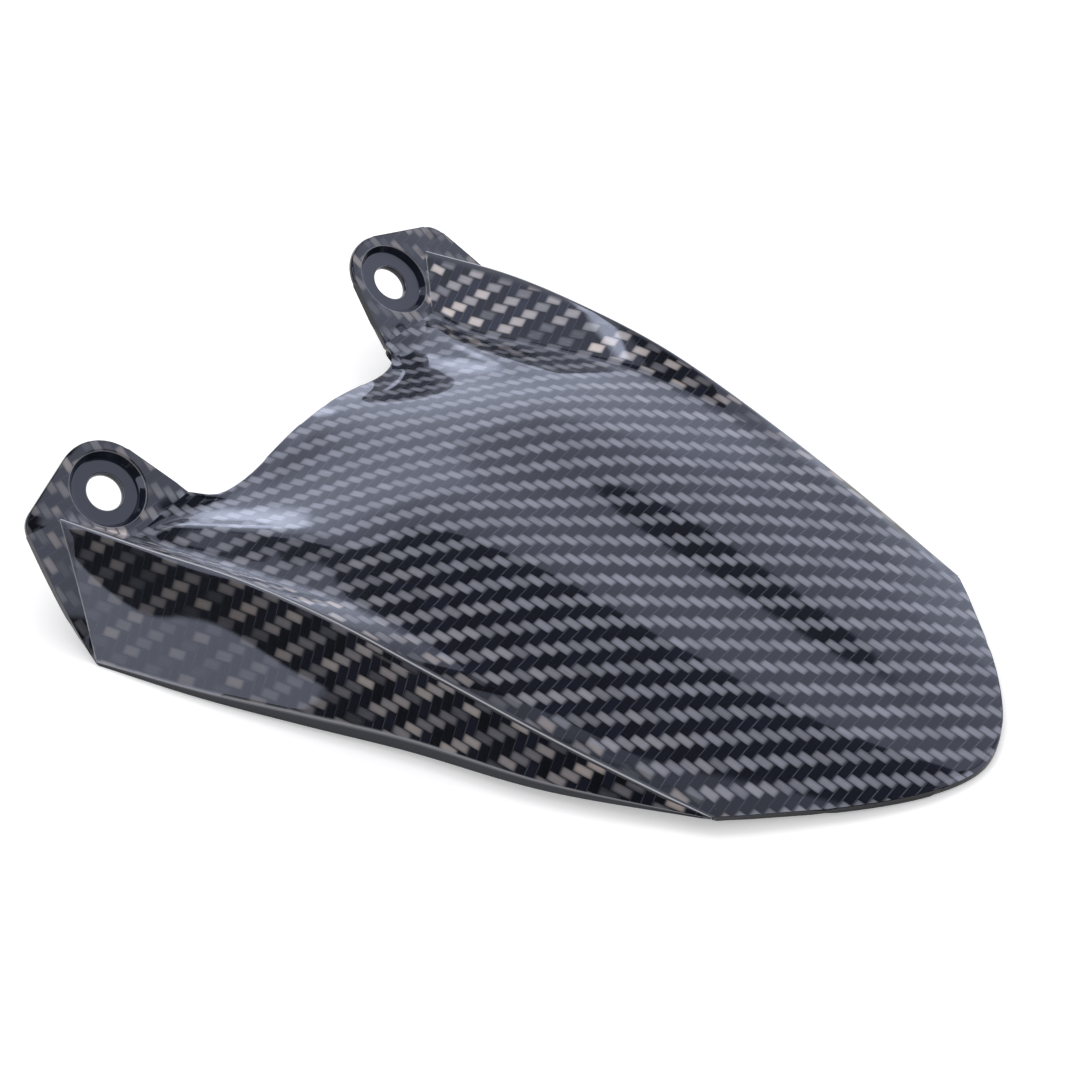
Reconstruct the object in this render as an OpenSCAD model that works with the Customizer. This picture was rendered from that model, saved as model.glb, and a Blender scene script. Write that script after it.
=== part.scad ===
// Rear hugger mudguard: one moulded skin of woven laminate that sits low over a rear tyre.
// Two ears in front carry the screws, a hollow wing runs along each side, and the arched
// crown between them runs out into a pointed tail. Everything is measured from the line
// through the two screw holes: x runs to the tail, y to the side and z up.

/* [Mounting ears] */
// Distance between the centres of the two screw holes
hole_spacing = 78.2; // [72:0.2:86]
// Bore of a screw hole, a clearance fit on an M6 screw
hole_d = 6.6; // [6.2:0.1:7.4]
// Diameter of the flat floor under the washer
recess_floor_d = 12.2; // [11.5:0.1:12.8]
// Diameter of the washer recess at the face of the ear
recess_rim_d = 13.8; // [13:0.1:14.2]
// Depth of the washer recess
recess_depth = 1.4; // [0.8:0.1:2]
// Angle between the face of an ear and the level
ear_lean = 38.8; // [34:0.2:44]
// Angle by which each ear is turned outwards
ear_toe = 7; // [4:0.5:10]
// Radius of the ear round its hole
ear_tip_r = 8.5; // [7.5:0.1:9.5]
// Radius of the outer corner of an ear
ear_corner_r = 4.5; // [2:0.1:6]

/* [Laminate] */
// Thickness of the laminate
wall = 1.4; // [1:0.1:1.8]

/* [Crown] */
// Distance from the hole line back to the front edge of the crown
arch_x = 13.2; // [11:0.1:16]
// Half width of the straight part of that front edge
arch_half = 20; // [17:0.2:22]
// Height of the crown over the hole line at its highest point
crown_rise = 4.7; // [3:0.1:8]
// Depth of the troughs between the crown and the two ridges behind the ears
trough_depth = 2.9; // [1:0.1:4]
// Length over which the troughs and the ridges fade out
trough_length = 38; // [28:1:50]
// Depth of the shallow channel along the middle of the crown
channel_depth = 0.5; // [0:0.1:1]

/* [Wings] */
// Rise of the top edge of a wing over its valley, at the highest place
wing_rise = 7.9; // [5:0.1:10]
// Distance by which the foot of a wing stands outside its top edge, at the widest place
wing_flare = 11.9; // [8:0.1:14]
// Height of the upright lip along the lower edge of a wing
lip_height = 3.5; // [2:0.1:4.5]
// Radius at the foot of the inner wall of a wing
valley_r = 3; // [1.5:0.1:4]

/* [Tail] */
// Distance from the hole line to the corner where a wing meets the tail
corner_x = 121.7; // [110:1:135]
// Width of the part across the two tail corners
corner_w = 74; // [68:0.5:80]
// Distance from the hole line to the tip of the tail
tip_x = 150.5; // [142:0.5:160]
// Width of the blunt end of the tail
tip_w = 27; // [18:0.5:34]
// Drop from the hole line to the upper face at the tip
tip_drop = 9.9; // [7:0.1:13]

/* [Hidden] */
$fn = 64;

// Rows along the skin, lines across each of its fields, and steps of a rounded corner
ROWS = 32;
ARCH_LINES = 5;
BEND_LINES = 4;
FOLD_LINES = 2;
FLANK_LINES = 3;
INNER_LINES = 3;
OUTER_LINES = 4;
ARC_STEPS = 8;

hole_y = hole_spacing / 2;

// Small helpers
function mix(a, b, t) = a + (b - a) * t;
function clamp01(t) = min(1, max(0, t));
function ease(t) = let (u = clamp01(t)) u * u * (3 - 2 * u);
function bezier(a, b, c, t) = mix(mix(a, b, t), mix(b, c, t), t);
function unit(v) = v / norm(v);

// A smooth curve through stations of [place, value]
function slope(tab, i) =
    let (a = max(0, i - 1), b = min(len(tab) - 1, i + 1))
    (tab[b][1] - tab[a][1]) / (tab[b][0] - tab[a][0]);
function span(tab, x, i = 0) = (i < len(tab) - 2 && x > tab[i + 1][0]) ? span(tab, x, i + 1) : i;
function curve(tab, x) =
    let (i = span(tab, x), w = tab[i + 1][0] - tab[i][0], t = (x - tab[i][0]) / w,
         a = tab[i][1], b = tab[i + 1][1], ma = slope(tab, i) * w, mb = slope(tab, i + 1) * w)
    t < 0 ? a + ma * t : t > 1 ? b + mb * (t - 1) :
    a * (1 + 2 * t) * (1 - t) * (1 - t) + ma * t * (1 - t) * (1 - t)
    + b * t * t * (3 - 2 * t) - mb * t * t * (1 - t);

// The face of the ear on the +y side: a point on it from its own outward and upward measures
EAR_OUT = [-sin(ear_toe), cos(ear_toe), 0];
EAR_UP = [-cos(ear_lean) * cos(ear_toe), -cos(ear_lean) * sin(ear_toe), sin(ear_lean)];
EAR_NORMAL = [sin(ear_lean) * cos(ear_toe), sin(ear_lean) * sin(ear_toe), cos(ear_lean)];
function on_ear(p) = [0, hole_y, 0] + p[0] * EAR_OUT + p[1] * EAR_UP;

// Corners of the ear in its own plane, measured from the hole
EAR_INNER = [-12.8, -7.4];
EAR_RIDGE = [-2, -8.9];
EAR_VALLEY = [1.1, -9.4];
EAR_WING = [10.9, 0];
EAR_FOOT = [20.6, -24.4];
EAR_SIDE = [20, -13.5];
EAR_CORNER = [17, 2.3];
EAR_TIP = [-4.3, 11.8];

// Where the folds of the skin start on the ear
INNER_0 = on_ear(EAR_INNER);
RIDGE_0 = on_ear(EAR_RIDGE);
VALLEY_0 = on_ear(EAR_VALLEY);
WING_0 = on_ear(EAR_WING);
FOOT_0 = on_ear(EAR_FOOT);

// Outline of the tail, from its tip to the corner on the +y side
TAIL_CORNER = [corner_x + 1, corner_w / 2];
TAIL_TIP = [tip_x, 0];
TAIL_FLAT = [tip_x, tip_w / 2];
TAIL_DROP = 9.2;
function tail_xy(w) = bezier(TAIL_TIP, TAIL_FLAT, TAIL_CORNER, w);
RIDGE_END = 0.72;
VALLEY_END = 0.93;

// Stations are shares of the way from the hole line to the tail corner
function at(s) = s * corner_x;

// Half width of the part beside the holes follows the ears, and that at the corner the tail
function side(s, y) = y + mix(hole_y - 39.1, corner_w / 2 - 37, ease(s));

SPINE_Z = [[arch_x, -1.2], [at(0.15), 0], [at(0.3), crown_rise - 1.6], [at(0.45), crown_rise],
           [at(0.6), crown_rise - 1.3], [at(0.8), crown_rise - 5.2], [at(1), crown_rise - 9.8],
           [tip_x, -tip_drop]];
RIDGE_Y = [[RIDGE_0[0], RIDGE_0[1]], [at(0.15), side(0.15, 33.8)], [at(0.3), side(0.3, 30)],
           [at(0.45), side(0.45, 29.3)], [at(0.8), side(0.8, 29)], [at(1), side(1, 27.8)],
           [tail_xy(RIDGE_END)[0], tail_xy(RIDGE_END)[1]]];
VALLEY_Y = [[VALLEY_0[0], VALLEY_0[1]], [at(0.15), side(0.15, 39.8)], [at(0.3), side(0.3, 40.3)],
            [at(0.45), side(0.45, 40.2)], [at(0.6), side(0.6, 39.9)], [at(0.8), side(0.8, 39)],
            [tail_xy(VALLEY_END)[0], tail_xy(VALLEY_END)[1]]];
VALLEY_Z = [[VALLEY_0[0], VALLEY_0[2]], [at(0.15), -5.1], [at(0.3), -1.4], [at(0.45), 1.6],
            [at(0.6), 0.8], [at(0.8), -2.6], [tail_xy(VALLEY_END)[0], -TAIL_DROP]];
WING_Y = [[WING_0[0], WING_0[1]], [at(0.15), side(0.15, 49.8)], [at(0.3), side(0.3, 48.1)],
          [at(0.45), side(0.45, 46.7)], [at(0.6), side(0.6, 44.9)], [at(0.8), side(0.8, 41.6)],
          [TAIL_CORNER[0], TAIL_CORNER[1]]];
WING_Z = [[WING_0[0], WING_0[2]], [at(0.15), wing_rise - 5.1], [at(0.3), wing_rise - 3.6],
          [at(0.45), wing_rise - 4.1], [at(0.6), wing_rise - 7], [at(0.8), wing_rise - 11.9],
          [TAIL_CORNER[0], -TAIL_DROP]];
FOOT_Y = [[FOOT_0[0], FOOT_0[1]], [at(0.3), side(0.3, 46.9) + wing_flare],
          [at(0.45), side(0.45, 42.9) + wing_flare], [at(0.6), side(0.6, 38.5) + wing_flare],
          [at(0.8), side(0.8, 33.9) + wing_flare], [TAIL_CORNER[0], TAIL_CORNER[1]]];
CORNER_EDGE = 1.5;
FOOT_Z = [[FOOT_0[0], FOOT_0[2]], [TAIL_CORNER[0], -TAIL_DROP - CORNER_EDGE]];
LIP = [[FOOT_0[0], 0.7], [at(0.3), lip_height - 1.9], [at(0.45), lip_height - 1.1],
       [at(0.6), lip_height - 0.4], [at(0.8), lip_height], [TAIL_CORNER[0], 1]];

// Foot of the crown, just inside the radius of the valley
function tail_w(x) = clamp01((tip_x - x) / (tip_x - tail_xy(VALLEY_END)[0]));
function rim_y(x) =
    x < tail_xy(VALLEY_END)[0] ? curve(VALLEY_Y, x)
    : let (c = TAIL_CORNER, f = TAIL_FLAT, a = c[0] - f[0], w = sqrt(max(0, (x - tip_x) / a)))
      max(0.01, bezier(0, f[1], c[1], w));
function rim_z(x) =
    x < tail_xy(VALLEY_END)[0] ? curve(VALLEY_Z, x)
    : mix(-tip_drop, -TAIL_DROP, sqrt(tail_w(x)));

// Height of the crown at a place seen from above
function crown_z(x, y) =
    let (q = clamp01(abs(y) / rim_y(x)), top = curve(SPINE_Z, x), rim = rim_z(x),
         r = clamp01(abs(y) / curve(RIDGE_Y, x)),
         fade = 1 - ease((x - arch_x) / trough_length),
         swell = sin(180 * clamp01(q / 0.8)))
    mix(top, rim, q * q * q)
    - trough_depth * fade * 6.75 * r * r * (1 - r)
    + channel_depth * swell * swell * (1 - fade) * clamp01((tip_x - x) / (tip_x - corner_x));

// Near the ear the skin leaves the fold line and rises to the crown
BLEND = 7;
function skin_z(x, y, x0, z0, w) = mix(z0, crown_z(x, y), w * ease((x - x0) / BLEND) + 1 - w);

// Front edge of the crown from its middle to the ridge on the ear
LAST_BEND = ARCH_LINES + BEND_LINES;
LAST_FOLD = LAST_BEND + FOLD_LINES;
function front_xy(i) =
    i <= ARCH_LINES ? [arch_x, arch_half * i / ARCH_LINES]
    : i <= LAST_BEND
    ? bezier([arch_x, arch_half], [arch_x, INNER_0[1] - 0.3], [INNER_0[0], INNER_0[1]],
             (i - ARCH_LINES) / BEND_LINES)
    : mix([INNER_0[0], INNER_0[1]], [RIDGE_0[0], RIDGE_0[1]], (i - LAST_BEND) / FOLD_LINES);
function ear_z(x, y) =
    -(EAR_NORMAL[0] * x + EAR_NORMAL[1] * (y - hole_y)) / EAR_NORMAL[2];

// Place along a line of the skin, closer together at the front
function along(j) = pow(j / ROWS, 1.25);

// One line of the crown, between the spine and the ridge
function crown_pt(i, j) =
    let (v = along(j), a = front_xy(i), e = tail_xy(RIDGE_END * i / LAST_FOLD),
         x = mix(a[0], e[0], v),
         rx = mix(RIDGE_0[0], tail_xy(RIDGE_END)[0], v),
         sag = curve(RIDGE_Y, rx) - mix(RIDGE_0[1], tail_xy(RIDGE_END)[1], v),
         y = mix(a[1], e[1], v) + sag * i / LAST_FOLD,
         w = ease((a[1] - arch_half) / (INNER_0[1] - arch_half)))
    [x, y, skin_z(x, y, a[0], i > ARCH_LINES ? mix(crown_z(a[0], a[1]), ear_z(a[0], a[1]), w)
                                             : 0, w)];

// The ridge and the foot of the valley wall
function ridge_pt(j) = crown_pt(LAST_FOLD, j);
function valley_x(j) = mix(VALLEY_0[0], tail_xy(VALLEY_END)[0], along(j));
function valley_pt(j) =
    let (x = valley_x(j))
    [x, curve(VALLEY_Y, x), curve(VALLEY_Z, x)];
function wing_pt(j) =
    let (x = mix(WING_0[0], TAIL_CORNER[0], along(j)))
    [x, curve(WING_Y, x), curve(WING_Z, x)];
function foot_pt(j) =
    let (x = mix(FOOT_0[0], TAIL_CORNER[0], along(j)))
    [x, curve(FOOT_Y, x), curve(FOOT_Z, x)];
function lip_pt(j) = foot_pt(j) + [0, 0, curve(LIP, foot_pt(j)[0])];

// The radius in the valley starts and ends this far from the corner of its two faces
function flank_start(j) =
    let (v = valley_pt(j), r = ridge_pt(j), t = min(0.4, 0.55 * valley_r / norm(v - r)))
    mix(v, r, t);
function wall_start(j) =
    let (v = valley_pt(j), t = wing_pt(j), k = min(0.35, 0.55 * valley_r / norm(t - v)))
    mix(v, t, k);

// Every line of one half of the skin, from the spine outwards
LAST_FLANK = LAST_FOLD + FLANK_LINES;
LAST_VALLEY = LAST_FLANK + 2;
LAST_INNER = LAST_VALLEY + INNER_LINES;
LAST_OUTER = LAST_INNER + OUTER_LINES;
LAST = LAST_OUTER + 1;
function flank_pt(t, j) = mix(ridge_pt(j), flank_start(j), t);
function top_pt(i, j) =
    i <= LAST_FOLD ? crown_pt(i, j)
    : i <= LAST_FLANK ? flank_pt((i - LAST_FOLD) / FLANK_LINES, j)
    : i <= LAST_VALLEY
    ? bezier(flank_start(j), valley_pt(j), wall_start(j), (i - LAST_FLANK) / 2)
    : i <= LAST_INNER
    ? mix(wall_start(j), wing_pt(j), (i - LAST_VALLEY) / INNER_LINES)
    : i <= LAST_OUTER
    ? mix(wing_pt(j), lip_pt(j), (i - LAST_INNER) / OUTER_LINES)
    : foot_pt(j);

// Upward normal of the upper face, from the neighbours of a point
function face_normal(i, j) =
    let (a = i == 0 ? [1, -1, 1] : [1, 1, 1],
         p = i == 0 ? [top_pt(1, j)[0], -top_pt(1, j)[1], top_pt(1, j)[2]] : top_pt(i - 1, j),
         q = top_pt(min(i + 1, LAST), j),
         r = top_pt(i, max(j - 1, 0)), s = top_pt(i, min(j + 1, ROWS)))
    unit(cross(s - r, q - p));

// Lower face: the crown and the walls are offset by the wall, and the folds are mitred
WING_MITRE = 1.35;
function inner_wing(j) =
    wing_pt(j) - wall * WING_MITRE * unit(face_normal(LAST_INNER - 1, j)
                                          + face_normal(LAST_INNER + 1, j));
function inner_lip(j) = lip_pt(j) - [0, wall, 0.2 * wall];
function under_pt(i, j) =
    i < LAST_INNER ? top_pt(i, j) - wall * face_normal(i, j)
    : i <= LAST_OUTER ? mix(inner_wing(j), inner_lip(j), (i - LAST_INNER) / OUTER_LINES)
    : foot_pt(j) - [0, wall, 0];

// Where the skin starts on the fold with an ear, its lower face is slid along to the ear's
function on_back(q, p, d) = q - d * ((q - p) * EAR_NORMAL + wall) / (d * EAR_NORMAL);
function lower(i, j) =
    j > 0 || i < LAST_BEND ? under_pt(i, j)
    : on_back(under_pt(i, 0), top_pt(i, 0), top_pt(i, 1) - top_pt(i, 0));

// A corner of an outline, rounded by an arc of radius r
function rounded(a, p, b, r, n) =
    let (u = unit(a - p), v = unit(b - p), half = acos(u * v) / 2,
         c = p + unit(u + v) * r / sin(half),
         s = p + u * r / tan(half) - c, e = p + v * r / tan(half) - c)
    [for (k = [0:n]) c + r * unit(mix(s, e, k / n))];

// Outline of an ear from its inner end round the tip to the lower corner, which is the wing's too
EAR_HEAD = concat(rounded(EAR_INNER, EAR_TIP, EAR_CORNER, ear_tip_r, ARC_STEPS),
                  rounded(EAR_TIP, EAR_CORNER, EAR_SIDE, ear_corner_r, ARC_STEPS));
EAR_EDGE = concat(EAR_HEAD, [for (k = [1:OUTER_LINES])
                             bezier(EAR_HEAD[len(EAR_HEAD) - 1], EAR_SIDE, EAR_FOOT,
                                    k / (OUTER_LINES + 1))]);
HEAD = len(EAR_HEAD);
EDGE = len(EAR_EDGE);

// The two halves in one net: columns run from the -y lip to the +y lip. Each ear adds its
// edge and one point at its screw hole.
COLS = 2 * LAST;
NET = (COLS + 1) * (ROWS + 1);
POINTS = NET + 2 * (EDGE + 1);
function flip(p, low) = low ? [p[0], -p[1], p[2]] : p;
function face_points(under) = concat(
    [for (j = [0:ROWS], c = [0:COLS])
     flip(under ? lower(abs(c - LAST), j) : top_pt(abs(c - LAST), j), c < LAST)],
    [for (low = [false, true], p = concat(EAR_EDGE, [[0, 0]]))
     flip(on_ear(p) - (under ? wall * EAR_NORMAL : [0, 0, 0]), low)]);

// Numbers of the points: in the net, and on the edge or at the hole of an ear
function id(c, j) = j * (COLS + 1) + c;
function row0(i, low) = low ? LAST - i : LAST + i;
function edge_id(k, low) = NET + (low ? EDGE + 1 : 0) + k;
function turned(f, low) = low ? [f[0], f[2], f[1]] : f;

module skin() {
    sheet = [for (j = [0:ROWS - 1], c = [0:COLS - 1]) each
             [[id(c, j), id(c + 1, j + 1), id(c, j + 1)],
              [id(c, j), id(c + 1, j), id(c + 1, j + 1)]]];
    // The head of each ear fans out from its hole, and a strip runs down beside the wing
    fans = [for (low = [false, true])
            let (ring = concat([for (i = [LAST_BEND:LAST_INNER]) row0(i, low)],
                               [for (k = [HEAD - 1:-1:0]) edge_id(k, low)], [row0(LAST_BEND, low)]))
            for (k = [0:len(ring) - 2])
            turned([edge_id(EDGE, low), ring[k + 1], ring[k]], low)];
    strips = [for (low = [false, true], k = [0:OUTER_LINES])
              let (a = row0(LAST_INNER + k, low), b = row0(LAST_INNER + k + 1, low),
                   e = edge_id(HEAD - 1 + k, low), f = edge_id(HEAD + k, low)) each
              k < OUTER_LINES ? [turned([a, e, f], low), turned([a, f, b], low)]
                              : [turned([a, e, b], low)]];
    tops = concat(sheet, fans, strips);
    // The rim runs round an ear, along the front edge, round the other ear and back by the tail
    rim = concat([id(0, 0)], [for (k = [EDGE - 1:-1:0]) edge_id(k, true)],
                 [for (c = [LAST - LAST_BEND:LAST + LAST_BEND]) id(c, 0)],
                 [for (k = [0:EDGE - 1]) edge_id(k, false)], [for (j = [0:ROWS]) id(COLS, j)],
                 [for (c = [COLS - 1:-1:0]) id(c, ROWS)], [for (j = [ROWS - 1:-1:1]) id(0, j)]);
    sides = [for (k = [0:len(rim) - 1]) let (a = rim[k], b = rim[(k + 1) % len(rim)]) each
             [[a, b + POINTS, b], [a, a + POINTS, b + POINTS]]];
    polyhedron(concat(face_points(false), face_points(true)),
               concat(tops, [for (f = tops) [f[2], f[1], f[0]] + [1, 1, 1] * POINTS], sides));
}

// The back of the washer recess, and the cuts for the recess, drafted at its side, and the hole.
// They are turned so that their seams fall between the lines that fan out from the hole.
SEAM = 222;
module recess_back() {
    translate([0, 0, -wall - recess_depth]) rotate(SEAM)
        cylinder(d = recess_floor_d + 2 * wall, h = recess_depth + wall / 2);
}

module ear_cuts() {
    slope = (recess_rim_d - recess_floor_d) / recess_depth;
    translate([0, 0, -recess_depth]) rotate(SEAM)
        cylinder(d1 = recess_floor_d, d2 = recess_rim_d + slope, h = recess_depth + 1);
    translate([0, 0, -recess_depth - wall - 1]) rotate(SEAM)
        cylinder(d = hole_d, h = recess_depth + wall + 1.5);
}

module on_ears() {
    for (s = [0, 1]) mirror([0, s, 0])
        translate([0, hole_y, 0]) rotate([ear_lean, 0, 90 + ear_toe]) children();
}

// The part rests on the lower corners of its wings and on the tip of its tail
REST_FRONT = lower(LAST, 0);
REST_BACK = [tip_x, 0, -tip_drop - wall];
rest_tilt = atan((REST_BACK[2] - REST_FRONT[2]) / (REST_BACK[0] - REST_FRONT[0]));
rest_lift = REST_FRONT[0] * sin(rest_tilt) - REST_FRONT[2] * cos(rest_tilt);

// Half way between the front of the ears and the end of the tail once it rests
function level_x(p) = p[0] * cos(rest_tilt) + p[2] * sin(rest_tilt);
front_x = min([for (p = EAR_EDGE) level_x(on_ear(p) - wall * EAR_NORMAL)]);
middle_x = (front_x + level_x([tip_x, 0, -tip_drop])) / 2;

module hugger_shell() {
    color("#2b2d33")
    translate([-middle_x, 0, rest_lift]) rotate([0, rest_tilt, 0])
    difference() {
        union() {
            skin();
            on_ears() recess_back();
        }
        on_ears() ear_cuts();
    }
}

hugger_shell();
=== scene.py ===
"""Rear hugger mudguard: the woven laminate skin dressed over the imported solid."""

import logging
import math
from dataclasses import dataclass, field
from enum import Enum
from typing import Optional, Sequence, TypeVar

import bmesh
import bpy
from mathutils import Matrix, Vector

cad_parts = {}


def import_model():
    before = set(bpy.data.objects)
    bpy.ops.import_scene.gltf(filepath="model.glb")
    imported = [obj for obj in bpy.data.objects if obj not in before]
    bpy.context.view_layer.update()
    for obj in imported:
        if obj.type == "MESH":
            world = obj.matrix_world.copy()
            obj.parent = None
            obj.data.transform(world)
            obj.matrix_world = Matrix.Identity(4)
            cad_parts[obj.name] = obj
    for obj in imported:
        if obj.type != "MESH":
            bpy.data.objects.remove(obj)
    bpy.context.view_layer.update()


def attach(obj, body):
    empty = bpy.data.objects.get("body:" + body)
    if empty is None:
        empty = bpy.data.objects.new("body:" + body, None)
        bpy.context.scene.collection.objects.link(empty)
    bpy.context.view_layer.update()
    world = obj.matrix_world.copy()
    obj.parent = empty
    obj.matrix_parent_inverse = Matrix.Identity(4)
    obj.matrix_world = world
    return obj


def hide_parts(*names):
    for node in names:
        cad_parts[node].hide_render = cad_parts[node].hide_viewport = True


log = logging.getLogger("hugger")

MM = 0.001
# Length of cloth, in mm, that the unit square of the cloth's UV map holds
CLOTH_MM = 200.0
# What every vertex knows of its field: its pattern, the painted light on its tows, how steep it
# stands
LAYERS = ("woven", "painted_tow_light", "steep")
MATH = "ShaderNodeMath"
MIX = "ShaderNodeMix"
COMBINE = "ShaderNodeCombineXYZ"
ATTRIBUTE = "ShaderNodeAttribute"

Station = tuple[float, float]
Value = TypeVar("Value", float, Vector)


def mix(a: Value, b: Value, t: float) -> Value:
    """Goes from a to b as t goes from 0 to 1."""
    return a + (b - a) * t


def clamp(t: float) -> float:
    """Keeps t between 0 and 1."""
    return min(1.0, max(0.0, t))


def ease(t: float) -> float:
    """Starts and ends softly between 0 and 1."""
    t = clamp(t)
    return t * t * (3 - 2 * t)


def bezier(a: Value, b: Value, c: Value, t: float) -> Value:
    """Bends from a to c with its handle at b."""
    return mix(mix(a, b, t), mix(b, c, t), t)


def curve(stations: Sequence[Station], x: float) -> float:
    """Reads a smooth curve through stations.

    Args:
        stations: Places along the part with a value at each.
        x: Place to read.

    Returns:
        The value at x.
    """
    last = len(stations) - 1
    i = 0
    while i < last - 1 and x > stations[i + 1][0]:
        i += 1

    def slope(k: int) -> float:
        """Gives the slope at one station."""
        lo, hi = stations[max(0, k - 1)], stations[min(last, k + 1)]
        return (hi[1] - lo[1]) / (hi[0] - lo[0])

    (x0, a), (x1, b) = stations[i], stations[i + 1]
    w = x1 - x0
    t = (x - x0) / w
    ma, mb = slope(i) * w, slope(i + 1) * w
    if t < 0:
        return a + ma * t
    if t > 1:
        return b + mb * (t - 1)
    return (a * (1 + 2 * t) * (1 - t) ** 2 + ma * t * (1 - t) ** 2
            + b * t * t * (3 - 2 * t) - mb * t * t * (1 - t))


@dataclass
class RestingPlace:
    """How the part stands: its tilt, its height and the middle of its length, in mm."""

    tilt_deg: float = 1.71476
    lift: float = 15.7985
    middle_x: float = 71.1606

    def turn(self, v: Vector) -> Vector:
        """Turns a direction from the screw-hole line's frame to the standing frame."""
        a = math.radians(self.tilt_deg)
        return Vector((v.x * math.cos(a) + v.z * math.sin(a), v.y,
                       -v.x * math.sin(a) + v.z * math.cos(a)))

    def place(self, v: Vector) -> Vector:
        """Moves a point in mm to its place in metres as the part stands."""
        return (self.turn(v) + Vector((-self.middle_x, 0, self.lift))) * MM


@dataclass
class Ear:
    """A mounting ear on the +y side, in its own plane: x runs outwards and y runs up."""

    hole_y: float = 39.1
    lean_deg: float = 38.8
    toe_deg: float = 7.0
    hole_r: float = 3.3
    floor_r: float = 6.1
    rim_r: float = 6.9
    recess_depth: float = 1.4
    tip_r: float = 8.5
    corner_r: float = 4.5
    inner: Vector = field(default_factory=lambda: Vector((-12.8, -7.4)))
    ridge: Vector = field(default_factory=lambda: Vector((-2.0, -8.9)))
    valley: Vector = field(default_factory=lambda: Vector((1.1, -9.4)))
    wing: Vector = field(default_factory=lambda: Vector((10.9, 0.0)))
    foot: Vector = field(default_factory=lambda: Vector((20.6, -24.4)))
    side: Vector = field(default_factory=lambda: Vector((20.0, -13.5)))
    corner: Vector = field(default_factory=lambda: Vector((17.0, 2.3)))
    tip: Vector = field(default_factory=lambda: Vector((-4.3, 11.8)))
    inner_steps: int = 5
    arc_steps: int = 16
    side_steps: int = 12
    hole_steps: int = 72

    def axes(self) -> tuple[Vector, Vector, Vector]:
        """Works out how the ear's plane lies.

        Returns:
            The outward, upward and face directions.
        """
        lean, toe = math.radians(self.lean_deg), math.radians(self.toe_deg)
        out = Vector((-math.sin(toe), math.cos(toe), 0))
        up = Vector((-math.cos(lean) * math.cos(toe), -math.cos(lean) * math.sin(toe),
                     math.sin(lean)))
        return out, up, out.cross(up)

    def at(self, p: Vector, deep: float = 0.0) -> Vector:
        """Places a point of the ear's plane, sunk by deep, in the hole line's frame."""
        out, up, face = self.axes()
        return Vector((0, self.hole_y, 0)) + out * p.x + up * p.y - face * deep

    def rounded(self, a: Vector, p: Vector, b: Vector, r: float) -> list[Vector]:
        """Rounds the corner p between a and b.

        Args:
            a: Corner before.
            p: Corner to round.
            b: Corner after.
            r: Radius.

        Returns:
            The points of the arc.
        """
        u, v = (a - p).normalized(), (b - p).normalized()
        half = math.acos(max(-1.0, min(1.0, u.dot(v)))) / 2
        c = p + (u + v).normalized() * r / math.sin(half)
        s, e = p + u * r / math.tan(half) - c, p + v * r / math.tan(half) - c
        n = self.arc_steps
        return [c + mix(s, e, k / n).normalized() * r for k in range(n + 1)]

    def edge(self) -> list[Vector]:
        """Draws the free outline, from the inner end round the tip to above the foot.

        Returns:
            The points of the outline, without its two ends.
        """
        head = self.rounded(self.inner, self.tip, self.corner, self.tip_r)
        head += self.rounded(self.tip, self.corner, self.side, self.corner_r)
        rise = [mix(self.inner, head[0], k / self.inner_steps)
                for k in range(1, self.inner_steps)]
        fall = [bezier(head[-1], self.side, self.foot, k / self.side_steps)
                for k in range(1, self.side_steps)]
        return rise + head + fall

    def rings(self) -> list[Station]:
        """Lays out the washer recess, with its rounded rim and its filleted floor.

        Returns:
            The radius and depth of each ring, from the flat face down to the hole.
        """
        rim, floor, deep = self.rim_r, self.floor_r, self.recess_depth
        return [(rim + 0.45, 0.0), (rim + 0.25, 0.02), (rim + 0.05, 0.1), (rim - 0.05, 0.25),
                (floor + 0.2, deep - 0.3), (floor + 0.05, deep - 0.1),
                (floor - 0.2, deep - 0.02), (floor - 0.5, deep),
                (self.hole_r + 0.3, deep), (self.hole_r, deep)]


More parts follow.
